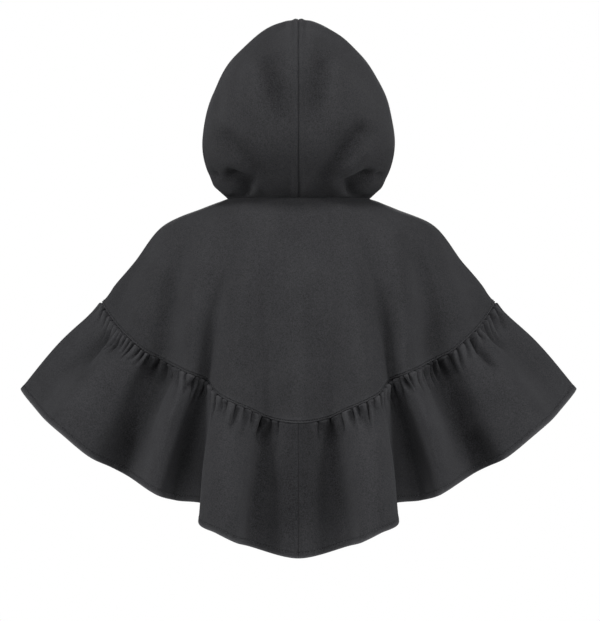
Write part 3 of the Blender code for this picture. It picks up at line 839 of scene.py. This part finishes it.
def makeYoke(name, span, seed):
    columns = columnPlaces(yokeSeamAt, span, yoke["columnStep"])
    levelSpan = (-neckLapLevels, seamLevel + seamLapLevels)
    close = yoke["fromEdges"]
    grid = clothGrid(clothForm, columns, levelSpan, close, yoke["rowStep"], close)
    outer, inner = roundedEdges(grid)
    below, neck = grid["bottom"], grid["top"]
    settle = ease(below, 0, 12) * ease(neck, 0, 12)
    stitched = groove(below, yoke["edgeStitch"], 0.5)
    shape = yoke["edgeRise"] * ease(below, 5, 2.4) * ease(below, 0, 0.7) - stitched
    sides = ease(np.minimum(grid["start"], grid["end"]), 0, 5)
    height, pitch, reach = yoke["neckPucker"]
    pucker = height * ripple(grid["start"], seed, pitch) * np.exp(-neck / reach)
    shape += pucker * ease(neck, 0, 2) * sides
    height, pitch, reach = yoke["seamPucker"]
    pucker = height * ripple(grid["start"], seed + 1, pitch) * np.exp(-below / reach)
    shape += pucker * ease(below, 0, 3) * sides
    height, pitch = yoke["unevenness"]
    shape += height * undulation(grid["points"], seed + 2, pitch) * settle * sides
    outer, inner = outer + shape, inner + shape
    # Painted light: a painted highlight along the lower edge, painted shade in the stitching groove and
    # down the long folds near that edge.
    pileAndEdgeHighlight, reach = yoke["edgeHighlight"]
    paintedLight = pileAndEdgeHighlight * np.exp(-below / reach) - yoke["stitchShade"] * stitched
    paintedLight -= paintedFoldShade(np.abs(columns), yoke["foldShades"]) * ease(below, 130, 10)
    piece = sheetObject(name, grid, outer, inner, paintedLight, yokeFelt)
    return piece, grid, outer


# Ruffle
ruffle = {
    # The gathers: their mean width and depth, and how far below the seam they run out.
    "pitch": 9.8,
    "depth": 5.0,
    "fade": 34,
    "lengths": (0.55, 1.5),
    "depths": (0.65, 1.2),
    "fades": (0.5, 1.2),
    "smoothAtSeam": 24,
    "smoothAtEdge": 14,
    "rise": 3.0,  # how far below the seam the crests are full, and the troughs
    "sink": 1.6,
    "swell": 1.3,  # how far the gathered cloth as a whole stands out
    "crest": 1.75,
    "sharpness": (0.55, 0.9, 22),  # at the seam, what it gains, and how far down
    "wander": (0.9, 22, 28),  # sideways, in gathers, its pitch, and how far down it is full
    "calm": (0.75, 13),  # how much lower the crests are beside the side seam, and how wide
    "seamHollow": (0.8, 0.9, 0.7),
    "unevenness": (0.5, 70),
    # How shade and highlight are painted into the colour: a painted highlight on a crest of this height,
    # painted shade in gathers and creases of these depths, a painted highlight along the cut edge,
    # painted shade along the hem's stitching.
    "crestHighlight": (0.16, 2.5),
    "gatherShade": 1.5,
    "gatherDepth": 2.6,
    "creaseDepth": 6,
    "edgeHighlight": (1.3, 1.2),
    "hemShade": (0.5, 0.7),
    "rowStep": 3.6,
    "fromTop": (0, 0.3, 0.7, 1.3, 2, 3, 4.2, 5.6, 7.2, 9, 11, 13.2, 15.6, 18.2, 21, 24, 27.2, 30.6),
    "fromHem": (0, 0.3, 0.7, 1.2, 1.8, 2.8, 4, 5.2, 5.8, 6.2, 6.6, 7.2, 8.5, 10.5),
    "hemWidth": 6.2,
    "hemRise": 0.35,
    "hemInside": 0.5,
    "hemGroove": (0.45, 0.6),
    # Longer soft troughs that some gathers run on into.
    "flutes": {
        "first": 34.0,
        "apart": (20, 46),
        "widths": (6, 11),
        "depths": (0.8, 2.2),
        "lengths": (45, 110),
    },
    # Painted shade down the long folds: how far beside each fold line it lies, its width and its
    # strength.
    "foldShades": {
        "centreBack": (0, 30, 0.65),
        "fluteRecess": (0, 12, 0.75),
        "deepTrough": (0, 11, 0.9),
        "armTrough": (-10, 18, 0.9),
    },
    "within": (0, 0.05, 0.12, 0.22, 0.34, 0.46, 0.58, 0.7, 0.82, 0.92),
    "creases": {
        "left": {
            "outerLong": (104, 336, 64, 388, -5, 5, 15, 0.3),
            "outerShort": (116, 344, 98, 364, -3, 3.5, 7, 0.3),
            "outerPuff": (104, 350, 84, 374, 2.5, 5, 9, 0.3),
            "troughFoot": (130, 446, 120, 484, -3, 10, 18, 0.9),
            "slopeA": (153, 354, 143, 386, -3.5, 3.5, 7, 0.4),
            "slopeB": (161, 359, 149, 388, -4, 3, 6, 0.4),
            "slopeC": (169, 365, 159, 388, -3.5, 3, 5, 0.4),
            "slopeD": (178, 371, 169, 388, -2.5, 2.5, 4, 0.4),
            "crestSlit": (197, 378, 180, 397, -4, 2.8, 4.5, 0.3),
            "fluteA": (226, 402, 218, 416, -2.5, 2.6, 4, 0.3),
            "fluteB": (238, 409, 226, 440, -3.2, 2.8, 5, 0.3),
            "fluteC": (248, 412, 244, 430, -2.2, 2.6, 4, 0.3),
            "recessA": (262, 417, 260, 452, -2.5, 4, 8, 0.4),
            "recessB": (276, 419, 268, 444, -2, 3.2, 6, 0.3),
        },
        "right": {
            "outerLong": (472, 340, 506, 376, -6.5, 3.4, 7, 0.45),
            "outerShort": (480, 327, 516, 356, -4.2, 3, 6, 0.3),
            "outerTop": (488, 316, 512, 330, -3, 2.6, 5, 0.3),
            "outerPuff": (482, 338, 508, 360, 3, 4, 6, 0.3),
            "troughFoot": (474, 440, 498, 482, -3.5, 9, 16, 0.9),
            "slopeA": (447, 352, 456, 384, -4, 3.5, 7, 0.4),
            "slopeB": (439, 357, 448, 388, -4.5, 3.2, 7, 0.4),
            "slopeC": (430, 361, 440, 384, -3.5, 3, 5, 0.4),
            "slopeD": (419, 366, 430, 382, -3, 2.6, 4, 0.4),
            "crestSlit": (401, 375, 416, 396, -4, 2.8, 4.5, 0.3),
            "fluteA": (371, 402, 377, 414, -2.4, 2.6, 4, 0.3),
            "fluteB": (360, 407, 373, 440, -3.4, 2.8, 5, 0.3),
            "fluteC": (351, 409, 356, 430, -2.4, 2.6, 4, 0.3),
            "recessA": (335, 416, 336, 452, -2.5, 4, 8, 0.4),
            "recessB": (321, 420, 329, 444, -2, 3.2, 6, 0.3),
        },
    },
}


def gathersOf(seed):
    # Where the troughs of the gathers start at the seam, and each one's depth and fade.
    chance = random.Random(seed)
    fine = np.linspace(0, frontEdge, 600)
    points = yokeSeamAt(fine)
    run = np.concatenate([[0], np.cumsum(np.linalg.norm(np.diff(points, axis=0), axis=1))])
    first, last = ruffle["smoothAtSeam"], run[-1] - ruffle["smoothAtEdge"]
    count = round((last - first) / ruffle["pitch"])
    lengths = np.array([chance.uniform(*ruffle["lengths"]) for _ in range(count)])
    edges = first + np.concatenate([[0], np.cumsum(lengths)]) * (last - first) / lengths.sum()
    narrow = np.minimum(1, np.append(np.diff(edges), ruffle["pitch"]) / ruffle["pitch"]) ** 0.6
    depths = ruffle["depth"] * np.array([chance.uniform(*ruffle["depths"]) for _ in edges]) * narrow
    fades = ruffle["fade"] * np.array([chance.uniform(*ruffle["fades"]) for _ in edges])
    return np.interp(edges, run, fine), depths, fades


def ruffleColumns(troughs):
    # Column places, and each one's place in the row of gathers: a whole number at every trough.
    places = [0, 0.3, 0.7, 1.3, 2.1, 3.5, *np.linspace(5, troughs[0] - 1.5, 9)]
    for here, following in zip(troughs, troughs[1:]):
        places += [here + w * (following - here) for w in ruffle["within"]]
    places += [troughs[-1]] + [frontEdge - d for d in (10, 7, 4.5, 2.4, 1.3, 0.7, 0.3, 0)]
    places = np.array(places)
    counted = np.interp(places, troughs, np.arange(len(troughs)))
    outside = np.minimum(places - troughs[0], 0) + np.maximum(places - troughs[-1], 0)
    return places, counted + outside / np.diff(troughs).mean()


def gathered(drop, places, counted, seed, depths, fades):
    # The gathers' crests and troughs: they start at the seam, wander a little sideways, and run out.
    wander, pitch, reach = ruffle["wander"]
    counted = counted[None, :] + wander * ripple(places, seed + 50, pitch)[None, :] * ease(drop, 1, reach)
    known = np.arange(-1, len(depths) + 1)
    depth = np.interp(counted, known, [0, *depths, 0])
    fade = np.interp(counted, known, [fades[0], *fades, fades[-1]])
    atSeam, gain, reach = ruffle["sharpness"]
    sharpness = atSeam + gain * ease(drop, 0, reach)
    wave = -1 + ruffle["crest"] * np.sin(np.pi * (counted - np.floor(counted))) ** sharpness
    rise, sink = ease(drop, 0, ruffle["rise"]), ease(drop, 0, ruffle["sink"])
    fading = np.clip(1 - (drop - ruffle["rise"]) / (fade - ruffle["rise"]), 0, 1) ** 1.4
    lower, width = ruffle["calm"]
    calm = 1 - lower * groove(places, sideSeam, width)[None, :]
    full = np.interp(counted, (-1, 0, len(depths) - 1, len(depths)), (0, 1, 1, 0))
    lift = (wave * depth * np.where(wave > 0, rise, sink) + ruffle["swell"] * rise * full) * fading
    return np.where(lift > 0, lift * calm, lift)


def makeRuffle(half, side):
    seed = seeds[half]
    troughs, depths, fades = gathersOf(seed)
    columns, counted = ruffleColumns(troughs)
    levelSpan = (seamLevel - seamLapLevels, hemLevel)
    fromTop, fromHem = ruffle["fromTop"], ruffle["fromHem"]
    grid = clothGrid(clothForm, columns, levelSpan, fromTop, ruffle["rowStep"], fromHem)
    drop, hem = grid["top"], grid["bottom"]
    outer, inner = roundedEdges(grid)
    gathers = gathered(drop, columns, counted, seed, depths, fades)
    depth, at, width = ruffle["seamHollow"]
    shape = gathers - depth * groove(drop, at, width) * ease(drop, 0, 0.6)
    run = grid["start"]
    sides = ease(np.minimum(grid["start"], grid["end"]), 0, 6)
    shape += flutes(run[len(run) // 3], seed, drop) * sides
    creases = creased(grid["points"] * (side, 1, 1), ruffle["creases"][half]) * sides * ease(drop, 0.6, 5)
    shape += creases
    height, pitch = ruffle["unevenness"]
    shape += height * undulation(grid["points"], seed + 9, pitch) * ease(drop, 5, 40) * sides
    depth, width = ruffle["hemGroove"]
    shape += ruffle["hemRise"] * ease(hem, 8, 6) - depth * groove(hem, ruffle["hemWidth"], width)
    inner = inner - ruffle["hemInside"] * ease(hem, 8.6, 8) * ease(hem, 0, 1.5)
    outer, inner = outer + shape, inner + shape
    if side < 0:
        for part in ("points", "normals"):
            grid[part] = grid[part] * (-1, 1, 1)
    # Painted light: painted shade in the gathers, creases, long folds and hem stitching, a painted
    # highlight on the gathers' crests and along the hem's edge.
    gatherShade = ruffle["gatherShade"] * sunkShade(gathers, ruffle["gatherDepth"])
    pileAndEdgeHighlight, reach = ruffle["edgeHighlight"]
    paintedLight = pileAndEdgeHighlight * np.exp(-hem / reach) - np.maximum(gatherShade, sunkShade(creases, ruffle["creaseDepth"]))
    crestLight, height = ruffle["crestHighlight"]
    paintedLight += crestLight * np.clip(gathers / height, 0, 1)
    paintedLight -= paintedFoldShade(columns, ruffle["foldShades"]) * ease(hem, -30, 60)
    shade, width = ruffle["hemShade"]
    paintedLight -= shade * groove(hem, ruffle["hemWidth"], width)
    piece = sheetObject(f"ruffle_{half}_cloth", grid, outer, inner, paintedLight, ruffleFelt)
    return piece, grid, outer


def flutes(run, seed, drop):
    spec = ruffle["flutes"]
    chance = random.Random(seed + 40)
    total = np.zeros_like(drop)
    place = spec["first"]
    while place < run.max() - 20:
        width, depth, length = (chance.uniform(*spec[key]) for key in ("widths", "depths", "lengths"))
        trough = groove(run, place, width)[None, :]
        total -= depth * trough * ease(drop, 2, 16) * (1 - ease(drop, 16, length))
        place += chance.uniform(*spec["apart"])
    return total


# The finished cloth pieces, whose triangles are counted at the end.
pieces = []


def finishSheet(piece, node, stitches):
    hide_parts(node)
    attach(piece, "root")
    pieces.append(piece)


def sewn(name, grid, outer, distance, edge="bottom"):
    # The row of stitches along one edge of a piece.
    bm = bmesh.new()
    stitchLine(bm, *gridLine(grid, outer, edge, distance), stitching)
    piece = addObject(f"{name}_stitches", bm, thread)
    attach(piece, "root")
    return piece


for half, side in (("left", 1), ("right", -1)):
    piece, grid, outer = makeHood(half, side)
    finishSheet(piece, f"hood_{half}", sewn(f"hood_{half}", grid, outer, hood["hemWidth"], "end"))
    piece, grid, outer = makeRuffle(half, side)
    finishSheet(piece, f"ruffle_{half}", sewn(f"ruffle_{half}", grid, outer, ruffle["hemWidth"]))
    span = (sideSeam - seamLap, frontEdge) if side > 0 else (-frontEdge, seamLap - sideSeam)
    piece, grid, outer = makeYoke(f"front_{half}_cloth", span, seeds[half] + 7)
    finishSheet(piece, f"front_{half}", sewn(f"front_{half}", grid, outer, yoke["edgeStitch"]))
    print(half, "half made")

piece, grid, outer = makeYoke("back_cloth", (-sideSeam - seamLap, sideSeam + seamLap), seeds["back"])
finishSheet(piece, "back", sewn("back", grid, outer, yoke["edgeStitch"]))
print("back made")

# Button
button = {
    # Radius and height in turn, from the foot of the shank to the middle of the dished face.
    "profile": ((0, 0), (2.2, 0), (2.2, 2.9), (2.6, 3.4), (8.2, 3.5), (9.2, 3.8), (9.8, 4.4), (10, 5.1),
                (9.85, 5.8), (9.4, 6.3), (8.8, 6.55), (8.2, 6.5), (7.7, 6.2), (7.2, 5.95), (5, 5.8),
                (0, 5.75)),
    "steps": 56,
}


def makeButton():
    # A finer button on the axis of its solid, which is the way its points spread least.
    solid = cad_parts["button"]
    corners = np.array([solid.matrix_world @ v.co for v in solid.data.vertices])
    points = np.unique(corners.round(5), axis=0) / mm
    middle = points.mean(axis=0)
    axis = np.linalg.svd(points - middle)[2][2]
    axis *= np.sign(axis[1])
    foot = middle + axis * ((points - middle) @ axis).min()
    bm = bmesh.new()
    line = [bm.verts.new((radius, 0, height)) for radius, height in button["profile"]]
    edges = [bm.edges.new(pair) for pair in zip(line, line[1:])]
    bmesh.ops.spin(bm, geom=line + edges, cent=(0, 0, 0), axis=(0, 0, 1), angle=math.tau,
                   steps=button["steps"], use_merge=True)
    bmesh.ops.remove_doubles(bm, verts=bm.verts, dist=0.01)
    bmesh.ops.recalc_face_normals(bm, faces=bm.faces)
    turn = Vector(axis).to_track_quat("Z", "Y").to_matrix().to_4x4()
    placed = Matrix.Scale(mm, 4) @ Matrix.Translation(Vector(foot)) @ turn
    bmesh.ops.transform(bm, matrix=placed, verts=bm.verts)
    piece = addObject("button_turned", bm, buttonPlastic)
    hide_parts("button")
    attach(piece, "root")


makeButton()
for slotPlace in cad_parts["button_loop"].material_slots:
    slotPlace.material = loopCord
print("button and loop made")

print("triangles", sum(len(p.data.polygons) * 2 for p in pieces))
